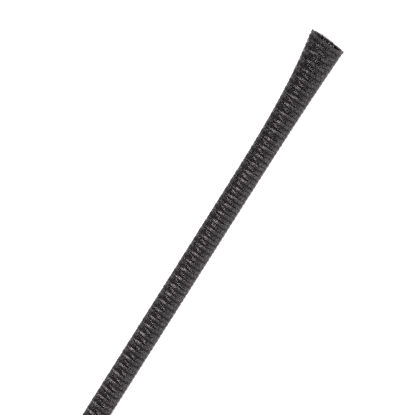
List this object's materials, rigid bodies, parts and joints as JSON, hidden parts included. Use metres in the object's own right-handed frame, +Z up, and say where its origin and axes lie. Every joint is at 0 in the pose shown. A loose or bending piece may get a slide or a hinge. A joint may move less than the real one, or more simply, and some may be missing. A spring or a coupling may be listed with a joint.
{
  "type": "braided cable sleeve",
  "caption": "Length of expandable tubular braid in black plastic monofilament that slips over cables, with one end opened into a flared mouth.",
  "frame": {"origin": "on the floor under the middle of the length, below the middle of the mouth's width", "axes": "+X along the sleeve towards its flared mouth, +Y towards the side that flares more, +Z up from the surface it lies on"},
  "size_m": [0.305, 0.0124, 0.0125],
  "materials": {
    "filament": "black extruded polyester monofilament, satin, braided"
  },
  "bodies": {
    "root": {"braided_sleeve": "filament"}
  },
  "joints": []
}
